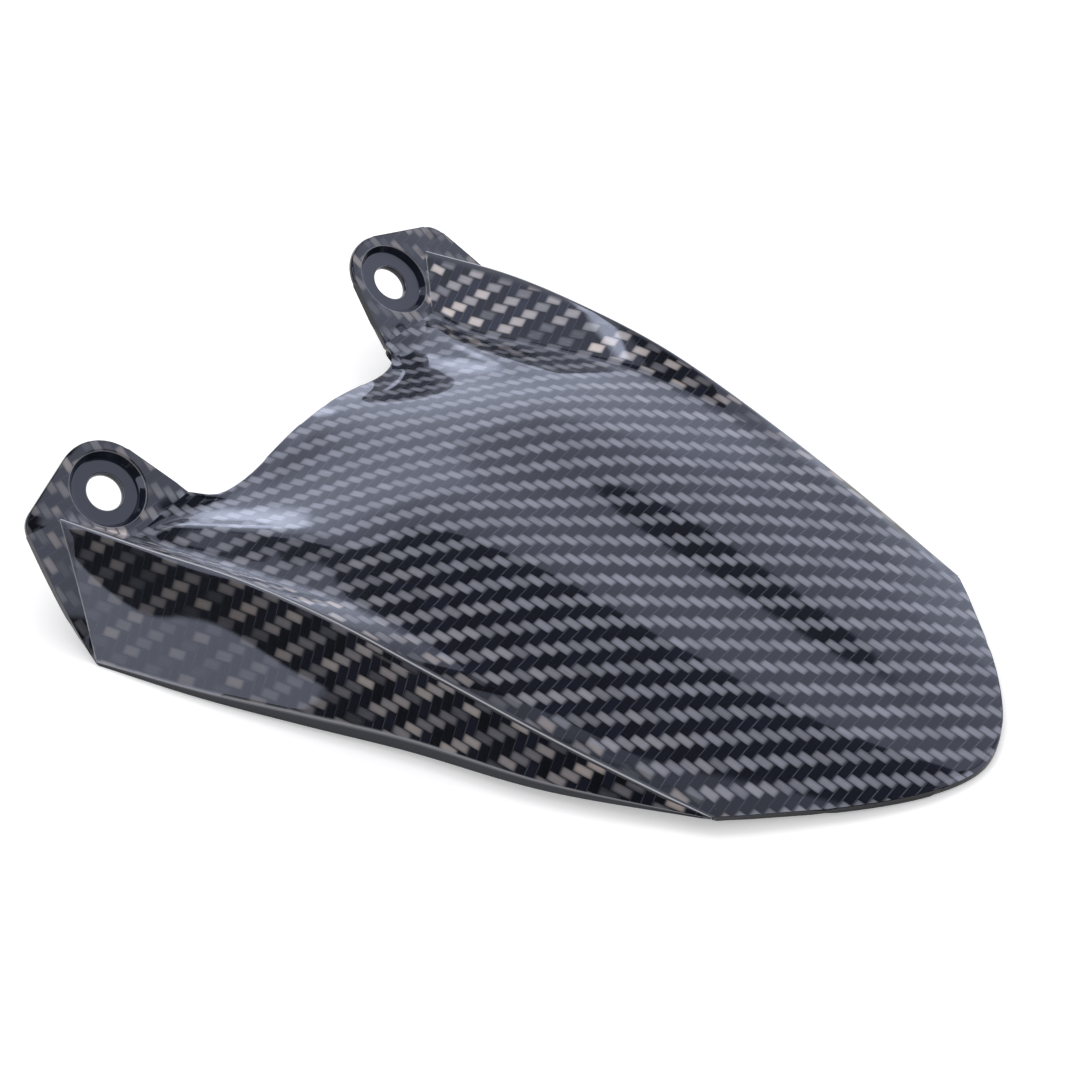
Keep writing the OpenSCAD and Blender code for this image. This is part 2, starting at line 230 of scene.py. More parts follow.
@dataclass
class Skin:
    """The whole laminate skin in the frame of the screw-hole line, in mm."""

    ear: Ear = field(default_factory=Ear)
    wall: float = 1.4
    arch_x: float = 13.2
    arch_half: float = 21.5
    bend_from: float = 14.5
    bend_handle: float = 2.5
    crown_rise: float = 4.7
    crown_fullness: int = 3
    trough_depth: float = 2.9
    trough_length: float = 38.0
    channel_depth: float = 0.5
    channel_reach: float = 0.8
    wing_rise: float = 7.9
    wing_flare: float = 11.9
    lip_height: float = 3.5
    lip_share: float = 0.06
    valley_r: float = 3.0
    valley_hold: float = 0.55
    corner_x: float = 121.7
    corner_w: float = 74.0
    tip_x: float = 150.5
    tip_w: float = 27.0
    tip_drop: float = 9.9
    tail_drop: float = 9.2
    corner_edge: float = 0.5
    ridge_end: float = 0.72
    valley_end: float = 0.93
    blend: float = 4.5
    wing_edge_r: float = 0.7
    wing_edge_share: float = 0.3
    wall_cloth: float = 84.0
    wall_bow: float = 0.3
    bow_from: float = 1.5
    bow_run: float = 8.0
    rows: int = 96
    row_power: float = 1.25
    arch_lines: int = 5
    bend_lines: int = 4
    fold_lines: int = 2
    flank_steps: int = 6
    valley_steps: int = 6
    inner_steps: int = 8
    edge_steps: int = 4
    outer_steps: int = 10
    rim_steps: int = 2
    lip_steps: int = 3

    def __post_init__(self) -> None:
        """Lays out the curves along the part from its sizes."""
        e = self.ear
        self.inner0, self.ridge0, self.valley0, self.wing0, self.foot0 = (
            e.at(p) for p in (e.inner, e.ridge, e.valley, e.wing, e.foot))
        self.tail_corner = Vector((self.corner_x + 1, self.corner_w / 2))
        self.tail_tip = Vector((self.tip_x, 0))
        self.tail_flat = Vector((self.tip_x, self.tip_w / 2))
        ridge_tail, valley_tail = self.tail(self.ridge_end), self.tail(self.valley_end)
        c, s, r, w, f, h = (self.tail_corner, self.side_y, self.crown_rise, self.wing_rise,
                            self.wing_flare, self.lip_height)
        at = self.station
        self.spine_z = [(self.arch_x, -1.2), (at(.15), 0.0), (at(.3), r - 1.6), (at(.45), r),
                        (at(.6), r - 1.3), (at(.8), r - 5.2), (at(1), r - 9.8),
                        (self.tip_x, -self.tip_drop)]
        self.channel_x = [(self.arch_x, 1.0), (at(.45), 1.45), (at(.62), 1.4), (at(.8), 1.05),
                          (at(1), 0.9), (self.tip_x, 0.9)]
        self.ridge_y = [(self.ridge0.x, self.ridge0.y), (at(.15), s(.15, 33.8)),
                        (at(.3), s(.3, 30)), (at(.45), s(.45, 29.3)), (at(.8), s(.8, 29)),
                        (at(1), s(1, 27.8)), (ridge_tail.x, ridge_tail.y)]
        self.valley_y = [(self.valley0.x, self.valley0.y), (at(.15), s(.15, 39.8)),
                         (at(.3), s(.3, 40.3)), (at(.45), s(.45, 40.2)), (at(.6), s(.6, 39.9)),
                         (at(.8), s(.8, 39)), (valley_tail.x, valley_tail.y)]
        self.valley_z = [(self.valley0.x, self.valley0.z), (at(.15), -5.1), (at(.3), -1.4),
                         (at(.45), 1.6), (at(.6), 0.8), (at(.8), -2.6),
                         (valley_tail.x, -self.tail_drop)]
        self.wing_y = [(self.wing0.x, self.wing0.y), (at(.15), s(.15, 49.8)),
                       (at(.3), s(.3, 48.1)), (at(.45), s(.45, 46.7)), (at(.6), s(.6, 44.9)),
                       (at(.8), s(.8, 41.6)), (c.x, c.y)]
        self.wing_z = [(self.wing0.x, self.wing0.z), (at(.15), w - 5.1), (at(.3), w - 3.6),
                       (at(.45), w - 4.1), (at(.6), w - 7), (at(.8), w - 11.9),
                       (c.x, -self.tail_drop)]
        self.foot_y = [(self.foot0.x, self.foot0.y), (at(.3), s(.3, 46.9) + f),
                       (at(.45), s(.45, 42.9) + f), (at(.6), s(.6, 38.5) + f),
                       (at(.8), s(.8, 33.9) + f), (c.x, c.y)]
        self.foot_z = [(self.foot0.x, self.foot0.z), (c.x, -self.tail_drop - self.corner_edge)]
        self.lip = [(self.foot0.x, 0.7), (at(.3), h - 1.9), (at(.45), h - 1.1),
                    (at(.6), h - 0.9), (at(.8), h - 1.7), (c.x, 0.3)]

    def station(self, s: float) -> float:
        """Gives the place at a share s of the way to the tail corner."""
        return s * self.corner_x

    def side_y(self, s: float, y: float) -> float:
        """Keeps a half width in step with the holes in front and the tail corner behind."""
        return y + mix(self.ear.hole_y - 39.1, self.corner_w / 2 - 37, ease(s))

    def tail(self, w: float) -> Vector:
        """Gives a point of the tail's outline, from its tip at 0 to its corner at 1."""
        return bezier(self.tail_tip, self.tail_flat, self.tail_corner, w)

    def rim_y(self, x: float) -> float:
        """Measures the crown's half width.

        Args:
            x: Place along the part.

        Returns:
            The distance from the spine to the crown's side.
        """
        if x < self.tail(self.valley_end).x:
            return curve(self.valley_y, x)
        run = self.tail_corner.x - self.tail_flat.x
        w = math.sqrt(max(0.0, (x - self.tip_x) / run))
        return max(0.01, bezier(0.0, self.tail_flat.y, self.tail_corner.y, w))

    def rim_z(self, x: float) -> float:
        """Measures the height of the crown's side.

        Args:
            x: Place along the part.

        Returns:
            The height.
        """
        end = self.tail(self.valley_end).x
        if x < end:
            return curve(self.valley_z, x)
        return mix(-self.tip_drop, -self.tail_drop,
                   math.sqrt(clamp((self.tip_x - x) / (self.tip_x - end))))

    def crown_z(self, x: float, y: float) -> float:
        """Measures the height of the crown at a place seen from above.

        Args:
            x: Place along the part.
            y: Distance from the spine.

        Returns:
            The height.
        """
        q = clamp(abs(y) / self.rim_y(x))
        r = clamp(abs(y) / curve(self.ridge_y, x))
        fade = 1 - ease((x - self.arch_x) / self.trough_length)
        # r * r * (1 - r) is at most 4 / 27, so this runs from 0 up to 1
        trough = r * r * (1 - r) * 27 / 4
        swell = math.sin(math.pi * clamp(q / self.channel_reach)) ** 2
        return (mix(curve(self.spine_z, x), self.rim_z(x), q ** self.crown_fullness)
                - self.trough_depth * fade * trough
                + self.channel_depth * curve(self.channel_x, x) * swell * (1 - fade)
                * clamp((self.tip_x - x) / (self.tip_x - self.corner_x)))

    def front(self, i: float) -> Vector:
        """Draws the front edge, from the middle to the ridge on the ear.

        Args:
            i: Line of the crown, from 0 on the spine.

        Returns:
            The point of the edge, seen from above.
        """
        bend = self.arch_lines + self.bend_lines
        if i <= self.arch_lines:
            return Vector((self.arch_x, self.bend_from * i / self.arch_lines))
        if i <= bend:
            return bezier(Vector((self.arch_x, self.bend_from)),
                          Vector((self.arch_x, self.inner0.y - self.bend_handle)), self.inner0.xy,
                          (i - self.arch_lines) / self.bend_lines)
        return mix(self.inner0.xy, self.ridge0.xy, (i - bend) / self.fold_lines)

    def crown(self, i: float, v: float) -> Vector:
        """Gives a point of the crown.

        Args:
            i: Line, from 0 on the spine to the last one on the ridge.
            v: Share of the way from the front edge to the tail.

        Returns:
            The point.
        """
        last = self.arch_lines + self.bend_lines + self.fold_lines
        a, e = self.front(i), self.tail(self.ridge_end * i / last)
        end = self.tail(self.ridge_end)
        x = mix(a.x, e.x, v)
        sag = curve(self.ridge_y, mix(self.ridge0.x, end.x, v)) - mix(self.ridge0.y, end.y, v)
        y = mix(a.y, e.y, v) + sag * i / last
        z = self.crown_z(x, y)
        if i > self.arch_lines:
            w = ease((a.y - self.arch_half) / (self.inner0.y - self.arch_half))
            face = self.ear.axes()[2]
            on_ear = -(face.x * a.x + face.y * (a.y - self.ear.hole_y)) / face.z
            beside = self.inner0.z if i < self.arch_lines + self.bend_lines else on_ear
            z0 = mix(self.crown_z(a.x, a.y), beside, w)
            z = mix(z0, z, w * ease((x - a.x) / self.blend) + 1 - w)
        return Vector((x, y, z))

    def valley(self, v: float) -> Vector:
        """Gives a point of the corner between the crown and the inner wall of the wing."""
        x = mix(self.valley0.x, self.tail(self.valley_end).x, v)
        return Vector((x, curve(self.valley_y, x), curve(self.valley_z, x)))

    def wing(self, v: float) -> Vector:
        """Gives a point of the wing's top edge."""
        x = mix(self.wing0.x, self.tail_corner.x, v)
        return Vector((x, curve(self.wing_y, x), curve(self.wing_z, x)))

    def foot(self, v: float) -> Vector:
        """Gives a point of the wing's lower edge."""
        x = mix(self.foot0.x, self.tail_corner.x, v)
        return Vector((x, curve(self.foot_y, x), curve(self.foot_z, x)))

    def section(self, v: float) -> list[tuple[Vector, str]]:
        """Gives one half of the skin's section at v.

        Args:
            v: Share of the way from the front edge to the tail.

        Returns:
            Points from the spine outwards, each with the name of its field.
        """
        last = self.arch_lines + self.bend_lines + self.fold_lines
        ridge, valley, wing, foot = self.crown(last, v), self.valley(v), self.wing(v), self.foot(v)
        lip = foot + Vector((0, 0, curve(self.lip, foot.x)))
        # The rounding of a corner takes no more than a set share of the walls beside it
        hold = self.valley_hold * self.valley_r
        low_in = mix(valley, ridge, min(0.4, hold / (valley - ridge).length))
        low_out = mix(valley, wing, min(0.35, hold / (wing - valley).length))
        most = self.wing_edge_share
        top_in = mix(wing, low_out, min(most, self.wing_edge_r / (wing - low_out).length))
        top_out = mix(wing, lip, min(most, self.wing_edge_r / (lip - wing).length))
        lip_in = mix(lip, wing, self.lip_share)
        down = lip_in - top_out
        bow = self.wall_bow * ease((down.length - self.bow_from) / self.bow_run)
        inwards = Vector((0, down.z, -down.y)).normalized() * bow

        out = [(self.crown(i / 2, v), "crown") for i in range(2 * last)]
        out += [(mix(ridge, low_in, k / self.flank_steps), "flank")
                for k in range(self.flank_steps)]
        out += [(bezier(low_in, valley, low_out, k / self.valley_steps), "flank")
                for k in range(self.valley_steps)]
        out += [(mix(low_out, top_in, k / self.inner_steps), "inner")
                for k in range(self.inner_steps)]
        out += [(bezier(top_in, wing, top_out, k / self.edge_steps), "edge")
                for k in range(self.edge_steps)]
        for k in range(self.outer_steps):
            t = k / self.outer_steps
            out.append((mix(top_out, lip_in, t) + inwards * 4 * t * (1 - t), "outer"))
        out += [(mix(lip_in, lip, k / self.rim_steps), "outer") for k in range(self.rim_steps)]
        out += [(mix(lip, foot, k / self.lip_steps), "lip") for k in range(self.lip_steps + 1)]
        return out


class Finish(Enum):
    """Which pattern a face of the skin carries."""

    WOVEN = 1.0
    PLAIN = 0.0


@dataclass(frozen=True)
class FieldLook:
    """How one field of the skin looks: its finish, the painted light on its tows, how steep it
    stands.
    """

    finish: Finish
    painted_light_front: float = 1.0
    painted_light_tail: float = 1.0
    steep: float = 0.0
    change_from: float = 0.22
    change_run: float = 0.35

    def mark(self, vert: bmesh.types.BMVert, layers: Sequence, v: float = 0.0) -> None:
        """Writes the look to a vertex.

        Args:
            vert: Vertex to mark.
            layers: The layers of the pattern, the painted light on the tows, and the steepness.
            v: Share of the way from the front edge to the tail.
        """
        there = ease((v - self.change_from) / self.change_run)
        shine = mix(self.painted_light_front, self.painted_light_tail, there)
        for layer, value in zip(layers, (self.finish.value, shine, self.steep)):
            vert[layer] = value


# The second and third values are the floats' painted light at the front and at the tail, set per
# field as the light falls: inner walls painted bright in front, outer walls and ears dark, flanks
# and the front of the crown a little darker
LOOKS = {
    "crown": FieldLook(Finish.WOVEN, 0.88, 1.0),
    "flank": FieldLook(Finish.WOVEN, 0.75, 1.0, 0.2),
    "inner": FieldLook(Finish.WOVEN, 1.85, 0.7, 1.0),
    "edge": FieldLook(Finish.PLAIN, 1.0, 1.0, 1.0),
    "outer": FieldLook(Finish.WOVEN, 0.3, 0.72, 1.0),
    "lip": FieldLook(Finish.PLAIN, 1.0, 1.0, 1.0),
    "ear": FieldLook(Finish.WOVEN, 0.54, 0.54, 1.0),
    "recess": FieldLook(Finish.PLAIN, 1.0, 1.0, 1.0),
}


def srgb(code: str) -> tuple[float, float, float, float]:
    """Turns a hex sRGB colour to linear light.

    Args:
        code: The colour as "#rrggbb".

    Returns:
        Red, green, blue and an alpha of 1.
    """
    raw = [int(code[i:i + 2], 16) / 255 for i in (1, 3, 5)]
    lin = [c / 12.92 if c <= 0.04045 else ((c + 0.055) / 1.055) ** 2.4 for c in raw]
    return (lin[0], lin[1], lin[2], 1.0)


def add(tree: bpy.types.NodeTree, kind: str, *values: object, inputs: Optional[dict] = None,
        **settings: object) -> bpy.types.Node:
    """Adds a node with its settings and links.

    Args:
        tree: Node tree to add to.
        kind: Type name of the node.
        *values: What the first inputs get: a value, an output, or a node for its first output.
        inputs: The same for inputs by name or number.
        **settings: Properties of the node.

    Returns:
        The node.
    """
    node = tree.nodes.new(kind)
    for key, value in settings.items():
        setattr(node, key, value)
    for key, value in {**dict(enumerate(values)), **(inputs or {})}.items():
        if isinstance(value, bpy.types.Node):
            value = value.outputs[0]
        if isinstance(value, bpy.types.NodeSocket):
            tree.links.new(value, node.inputs[key])
        else:
            node.inputs[key].default_value = value
    return node


# Gives the eye ribs of tows painted bright and dark on the slant, under lights as sharp as in a
# mirror
@dataclass(frozen=True)
class TwillLaminate:
    """Carbon cloth in a 2 by 2 twill under clear gloss lacquer, laid up in a mould.

    The tows that run along the part are painted light for the light they catch, those across it
    are painted dark, and the lacquer over both gives the sharp reflections.
    """

    # Six tows to the centimetre, as cloth of 3000-filament tows has
    tow_mm: float = 1.67
    # Painted sheen: floats along the part are painted light and floats across it dark, for the
    # light their fibres catch
    along: str = "#7d7f8b"
    # Warm tint of floats in steep fields, a painted reflection
    along_steep: str = "#8d8583"
    across: str = "#10121f"
    gap: str = "#090a12"
    glint: str = "#4a4d59"
    resin: str = "#141824"
    # Painted highlight for the folds, the wing top and the rims
    fold: str = "#c6c6cd"
    end_sharpness: float = 5.0
    side_sharpness: float = 4.0
    fibres_long: float = 1.2
    fibres_wide: float = 9.0
    streak_depth: float = 0.5
    tone: float = 0.92
    tone_least: float = 0.05
    spread_flat: float = 0.3
    spread_steep: float = 1.1
    glint_from: float = 0.88
    fold_highlight_power: float = 1.6
    relief: float = 0.25
    relief_mm: float = 0.08
    cloth_roughness: float = 0.42
    cloth_specular: float = 0.1
    resin_ior: float = 1.5
    lacquer_roughness: float = 0.02

    def weave(self, t: bpy.types.NodeTree) -> tuple:
        """Works out the float of cloth at each place.

        Args:
            t: The material's nodes.

        Returns:
            Nodes for: is it a float along the part, the place across the tows, the crest of the
            float, its own number, and the streaks of its fibres.
        """
        cloth = add(t, "ShaderNodeUVMap", uv_map="cloth")
        place = add(t, "ShaderNodeSeparateXYZ", cloth)
        per_uv = CLOTH_MM / self.tow_mm
        u = add(t, MATH, place.outputs[0], per_uv, operation="MULTIPLY")
        v = add(t, MATH, place.outputs[1], per_uv, operation="MULTIPLY")
        i = add(t, MATH, u, operation="FLOOR")
        j = add(t, MATH, v, operation="FLOOR")
        fu = add(t, MATH, u, operation="FRACT")
        fv = add(t, MATH, v, operation="FRACT")
        # A twill of 2 over and 2 under repeats after 4 tows
        apart = add(t, MATH, i, j, operation="SUBTRACT")
        step = add(t, MATH, apart, 4.0, operation="FLOORED_MODULO")
        is_along = add(t, MATH, step, 1.5, operation="LESS_THAN")
        # Place within a float: s runs with its fibres, w across them
        back = add(t, MATH, 3.0, step, operation="SUBTRACT")
        into_along = add(t, MATH, fu, step, operation="ADD")
        s_along = add(t, MATH, into_along, 0.5, operation="MULTIPLY")
        into_across = add(t, MATH, fv, back, operation="ADD")
        s_across = add(t, MATH, into_across, 0.5, operation="MULTIPLY")
        s = add(t, MIX, inputs={0: is_along, 2: s_across, 3: s_along})
        w = add(t, MIX, inputs={0: is_along, 2: fu, 3: fv})
        falls = []
        for run, sharpness in ((s, self.end_sharpness), (w, self.side_sharpness)):
            centred = add(t, MATH, run, 2.0, -1.0, operation="MULTIPLY_ADD")
            away = add(t, MATH, centred, operation="ABSOLUTE")
            drop = add(t, MATH, away, sharpness, operation="POWER")
            falls.append(add(t, MATH, 1.0, drop, operation="SUBTRACT"))
        crest = add(t, MATH, *falls, operation="MULTIPLY")
        # One number for each float, and fine streaks along its fibres
        shift = add(t, MATH, step, is_along, operation="MULTIPLY")
        first = add(t, MATH, i, shift, operation="SUBTRACT")
        is_across = add(t, MATH, 1.0, is_along, operation="SUBTRACT")
        shift = add(t, MATH, back, is_across, operation="MULTIPLY")
        second = add(t, MATH, j, shift, operation="SUBTRACT")
        key = add(t, COMBINE, first, second, is_along)
        own = add(t, "ShaderNodeTexWhiteNoise", inputs={"Vector": key})
        lane = add(t, COMBINE,
                   add(t, MATH, s, self.fibres_long, operation="MULTIPLY"),
                   add(t, MATH, w, self.fibres_wide, operation="MULTIPLY"),
                   add(t, MATH, own, 50.0, operation="MULTIPLY"))
        streak = add(t, "ShaderNodeTexNoise", inputs={"Vector": lane, "Scale": 1.0, "Detail": 2.0})
        return is_along, fu, crest, own, streak

    def build(self) -> bpy.types.Material:
        """Makes the material from its values.

        Returns:
            The material.
        """
        mat = bpy.data.materials.new("carbon_twill_lacquered")
        mat.use_nodes = True
        t = mat.node_tree
        t.nodes.clear()
        is_along, fu, crest, own, streak = self.weave(t)
        painted_tow_light, steep, mask, fold_highlight = (
            add(t, ATTRIBUTE, attribute_name=name).outputs["Fac"]
            for name in ("painted_tow_light", "steep", "woven", "fold_highlight"))
        # Floats differ more from each other in steep fields
        spread = add(t, MATH, steep, self.spread_steep, self.spread_flat,
                     operation="MULTIPLY_ADD")
        apart = add(t, MATH, own, 0.5, operation="SUBTRACT")
        lift = add(t, MATH, apart, spread, self.tone, operation="MULTIPLY_ADD")
        fibres = add(t, MATH, streak, self.streak_depth, -self.streak_depth / 2,
                     operation="MULTIPLY_ADD")
        tone = add(t, MATH, lift, fibres, operation="ADD")
        # The field's painted light scales its floats
        tone = add(t, MATH, tone, painted_tow_light, operation="MULTIPLY")
        tone = add(t, MATH, tone, self.tone_least, operation="MAXIMUM")
        # Some floats in steep fields, picked at random, take the warm painted reflection tint
        warm = add(t, MATH, steep, own, operation="MULTIPLY")
        bright = add(t, MIX, inputs={0: warm, 6: srgb(self.along), 7: srgb(self.along_steep)},
                     data_type="RGBA").outputs[2]
        # Painted sheen: along floats take the light colour, across floats the dark one
        tow = add(t, MIX, inputs={0: is_along, 6: srgb(self.across), 7: bright},
                  data_type="RGBA").outputs[2]
        toned = add(t, "ShaderNodeVectorMath", inputs={0: tow, 3: tone}, operation="SCALE")
        woven = add(t, MIX, inputs={0: crest, 6: srgb(self.gap), 7: toned},
                    data_type="RGBA").outputs[2]
        # The sides of the dark floats catch a thin light line
        centred = add(t, MATH, fu, 2.0, -1.0, operation="MULTIPLY_ADD")
        away = add(t, MATH, centred, operation="ABSOLUTE")
        side = add(t, MATH, away, self.glint_from, operation="GREATER_THAN")
        is_across = add(t, MATH, 1.0, is_along, operation="SUBTRACT")
        side = add(t, MATH, side, is_across, operation="MULTIPLY")
        shine = add(t, MATH, own, painted_tow_light, operation="MULTIPLY")
        line = add(t, MATH, side, shine, operation="MULTIPLY")
        woven = add(t, MIX, inputs={0: line, 6: woven, 7: srgb(self.glint)},
                    data_type="RGBA").outputs[2]
        dressed = add(t, MIX, inputs={0: mask, 6: srgb(self.resin), 7: woven},
                      data_type="RGBA").outputs[2]
        # A thin painted highlight along the folds, the wing top and the rims
        fold = add(t, MATH, fold_highlight, self.fold_highlight_power, operation="POWER")
        colour = add(t, MIX, inputs={0: fold, 6: dressed, 7: srgb(self.fold)},
                     data_type="RGBA").outputs[2]
        height = add(t, MATH, crest, mask, operation="MULTIPLY")
        bump = add(t, "ShaderNodeBump", inputs={
            "Height": height, "Strength": self.relief, "Distance": self.relief_mm * MM})
        shader = add(t, "ShaderNodeBsdfPrincipled", inputs={
            "Base Color": colour, "Roughness": self.cloth_roughness, "IOR": self.resin_ior,
            "Specular IOR Level": self.cloth_specular, "Normal": bump, "Coat Weight": 1.0,
            "Coat Roughness": self.lacquer_roughness, "Coat IOR": self.resin_ior})
        add(t, "ShaderNodeOutputMaterial", shader)
        return mat


@dataclass
class HuggerShell:
    """The moulded skin: crown, wings, tail and ears as one closed mesh, in mm."""

    skin: Skin
    stand: RestingPlace
    rim_r: float = 0.3
    miter_limit: float = 1.8
    sharp_deg: float = 34.0
    weld: float = 1e-4
    cloth_start: Station = (0.5, 0.5)
    ear_cloth_start: Station = (0.52, 0.7)
    # How bright the painted highlight is on the wing top, its shoulders, the ear folds and the
    # rims
    highlight_edge: float = 1.0
    highlight_shoulder: float = 0.2
    highlight_corner: float = 0.75
    highlight_rim: float = 0.6

    def rows(self) -> list[float]:
        """Gives the shares of the way back at which the sections lie, closer in front."""
        n = self.skin.rows
        return [(k / n) ** self.skin.row_power for k in range(n + 1)]

    def cloth_at(self, along: float, across: float, start: Station) -> Station:
        """Turns a place on the cloth, in mm, to its place in the UV map."""
        return along / CLOTH_MM + start[0], across / CLOTH_MM + start[1]

    def fold_highlight(self, row: int, names: list[str], k: int) -> float:
        """Gives how bright the painted highlight along a fold is.

        Args:
            row: Row, from 0 at the ear.
            names: The fields of the row's points.
            k: Point of the row.

        Returns:
            The lightness, from 0 to 1.
        """
        if names[k] == "edge":
            middle = names.index("edge") + self.skin.edge_steps // 2
            return self.highlight_edge if k == middle else self.highlight_shoulder
        if names[k] == "lip" and names[k - 1] == "outer":
            return self.highlight_rim
        return self.highlight_corner if row == 0 and names[k] in ("inner", "outer") else 0.0

    def net(self, bm: bmesh.types.BMesh) -> tuple[list, int]:
        """Moves a grid onto the upper face.

        Args:
            bm: Mesh to build in.

        Returns:
            The rows of vertices, and the number of columns of one half.
        """
        shares = self.rows()
        halves = [self.skin.section(v) for v in shares]
        half = len(halves[0])
        cols = 2 * half - 1
        bm.loops.layers.uv.new("cloth")
        for name in LAYERS:
            bm.verts.layers.float.new(name)
        bm.loops.layers.float.new("fold_highlight")
        made = bmesh.ops.create_grid(bm, x_segments=cols - 1, y_segments=len(halves) - 1, size=1.0)
        verts = sorted(made["verts"], key=lambda p: (round(p.co.y, 5), round(p.co.x, 5)))
        grid = [verts[r * cols:(r + 1) * cols] for r in range(len(halves))]
        layers = [bm.verts.layers.float[name] for name in LAYERS]
        uv, fold_highlight = bm.loops.layers.uv["cloth"], bm.loops.layers.float["fold_highlight"]
        cloth, fold_highlight_of = {}, {}
        for r, (row, section) in enumerate(zip(grid, halves)):
            names = [name for _, name in section]
            run = 0.0
            for k, (p, name) in enumerate(section):
                if k:
                    before = section[k - 1][0]
                    run += math.hypot(p.y - before.y, p.z - before.z)
                    if name == "outer" and names[k - 1] == "edge":
                        run = self.skin.wall_cloth
                light = self.fold_highlight(r, names, k)
                for c, side in ((half - 1 + k, 1.0), (half - 1 - k, -1.0)):
                    vert = row[c]
                    vert.co = Vector((p.x, side * p.y, p.z))
                    LOOKS[name].mark(vert, layers, shares[r])
                    fold_highlight_of[vert] = light
                    cloth[vert] = self.cloth_at(p.x, side * run, self.cloth_start)
        for f in bm.faces:
            for loop in f.loops:
                loop[uv].uv = cloth[loop.vert]
                loop[fold_highlight] = fold_highlight_of[loop.vert]
        bmesh.ops.reverse_faces(bm, faces=list(bm.faces))
        return grid, half

    def ear_plate(self, bm: bmesh.types.BMesh, row: list, half: int, side: float) -> None:
        """Fills one ear, with its washer recess and screw hole, onto the front row.

        Args:
            bm: Mesh to build in.
            row: Front row of the net.
            half: Columns of one half, the spine included.
            side: 1 for the +y ear and -1 for the other.
        """
        ear = self.skin.ear
        layers = [bm.verts.layers.float[name] for name in LAYERS]
        uv, fold_highlight = bm.loops.layers.uv["cloth"], bm.loops.layers.float["fold_highlight"]
        flip = Vector((1, side, 1))
        start = 2 * (self.skin.arch_lines + self.skin.bend_lines)
        fold = [row[half - 1 + int(side) * k] for k in range(start, half)]
        free = [bm.verts.new(ear.at(p) * flip) for p in ear.edge()]
        for vert in free:
            LOOKS["ear"].mark(vert, layers)
        outline = [fold[0]] + free + [fold[-1]]
        edges = [bm.edges.new(pair) for pair in zip(outline, outline[1:])]
        edges += [bm.edges.get(pair) for pair in zip(fold, fold[1:])]
        rings, turns = ear.rings(), ear.hole_steps
        made = bmesh.ops.create_grid(bm, x_segments=turns, y_segments=len(rings) - 1, size=1.0)
        cells = sorted(made["verts"], key=lambda p: (round(p.co.y, 5), round(p.co.x, 5)))
        loops = [cells[r * (turns + 1):(r + 1) * (turns + 1)] for r in range(len(rings))]
        for (r, deep), loop in zip(rings, loops):
            for k, vert in enumerate(loop):
                a = 2 * math.pi * k / turns
                vert.co = ear.at(Vector((r * math.cos(a), r * math.sin(a))), deep) * flip
                LOOKS["ear" if r > ear.rim_r + 0.1 else "recess"].mark(vert, layers)
        # The rim of the recess and the edge of the hole get a painted highlight line
        for vert in loops[2] + loops[-1]:
            for loop in vert.link_loops:
                loop[fold_highlight] = self.highlight_rim
        bmesh.ops.remove_doubles(bm, verts=cells, dist=self.weld / 10)
        ring = [v for v in loops[0] if v.is_valid]
        edges += [bm.edges.get(pair) for pair in zip(ring, ring[1:] + ring[:1])]
        out, up, face = (axis * flip for axis in ear.axes())
        filled = bmesh.ops.triangle_fill(bm, use_beauty=True, edges=edges, normal=face)
        new = {f for f in filled["geom"] if isinstance(f, bmesh.types.BMFace)}
        new |= {f for loop in loops for v in loop if v.is_valid for f in v.link_faces}
        for f in new:
            for loop in f.loops:
                p = loop.vert.co - Vector((0, side * ear.hole_y, 0))
                loop[uv].uv = self.cloth_at(-p.dot(up), side * p.dot(out), self.ear_cloth_start)
        bmesh.ops.recalc_face_normals(bm, faces=list(new))
        if sum(f.normal.dot(face) * f.calc_area() for f in new) < 0:
            bmesh.ops.reverse_faces(bm, faces=list(new))

    def thicken(self, bm: bmesh.types.BMesh) -> None:
        """Gives the skin its wall and rounds its rims.

        Args:
            bm: Mesh of the upper face.
        """
        bm.normal_update()
        tops, verts = list(bm.faces), list(bm.verts)
        inner = {v: v.co - v.normal * min(self.miter_limit, v.calc_shell_factor()) * self.skin.wall
                 for v in verts}
        rim = [e for e in bm.edges if e.is_boundary]
        ends = [(e.link_loops[0].vert, e.link_loops[0].link_loop_next.vert) for e in rim]
        twin = bmesh.ops.duplicate(bm, geom=verts + list(bm.edges) + tops)
        under = twin["vert_map"]
        bmesh.ops.reverse_faces(bm, faces=[f for f in twin["geom"]
                                           if isinstance(f, bmesh.types.BMFace)])
        for v in verts:
            under[v].co = inner[v]
        for a, b in ends:
            bm.faces.new((b, a, under[a], under[b]))
        round_off = rim + [bm.edges.get((under[a], under[b])) for a, b in ends]
        bmesh.ops.bevel(bm, geom=round_off, offset=self.rim_r, offset_type="OFFSET", segments=2,
                        profile=0.5, affect="EDGES", clamp_overlap=False, material=-1)
        bm.normal_update()

    def build(self, material: bpy.types.Material) -> bpy.types.Object:
        """Makes the finished piece.

        Args:
            material: Finish of the skin.

        Returns:
            The object.
        """
        bm = bmesh.new()
        grid, half = self.net(bm)
        for side in (1.0, -1.0):
            self.ear_plate(bm, grid[0], half, side)
        bmesh.ops.remove_doubles(bm, verts=list(bm.verts), dist=self.weld)
        self.thicken(bm)
        # The rounded feet are cut flat where they would reach into the floor
        for v in bm.verts:
            v.co = self.stand.place(v.co)
            v.co.z = max(v.co.z, 0.0)
        mesh = bpy.data.meshes.new("hugger_skin")
        bm.to_mesh(mesh)
        bm.free()
        piece = bpy.data.objects.new("hugger_skin", mesh)
        bpy.context.scene.collection.objects.link(piece)
        for poly in mesh.polygons:
            poly.use_smooth = True
        mesh.set_sharp_from_angle(angle=math.radians(self.sharp_deg))
        mesh.materials.append(material)
        return piece


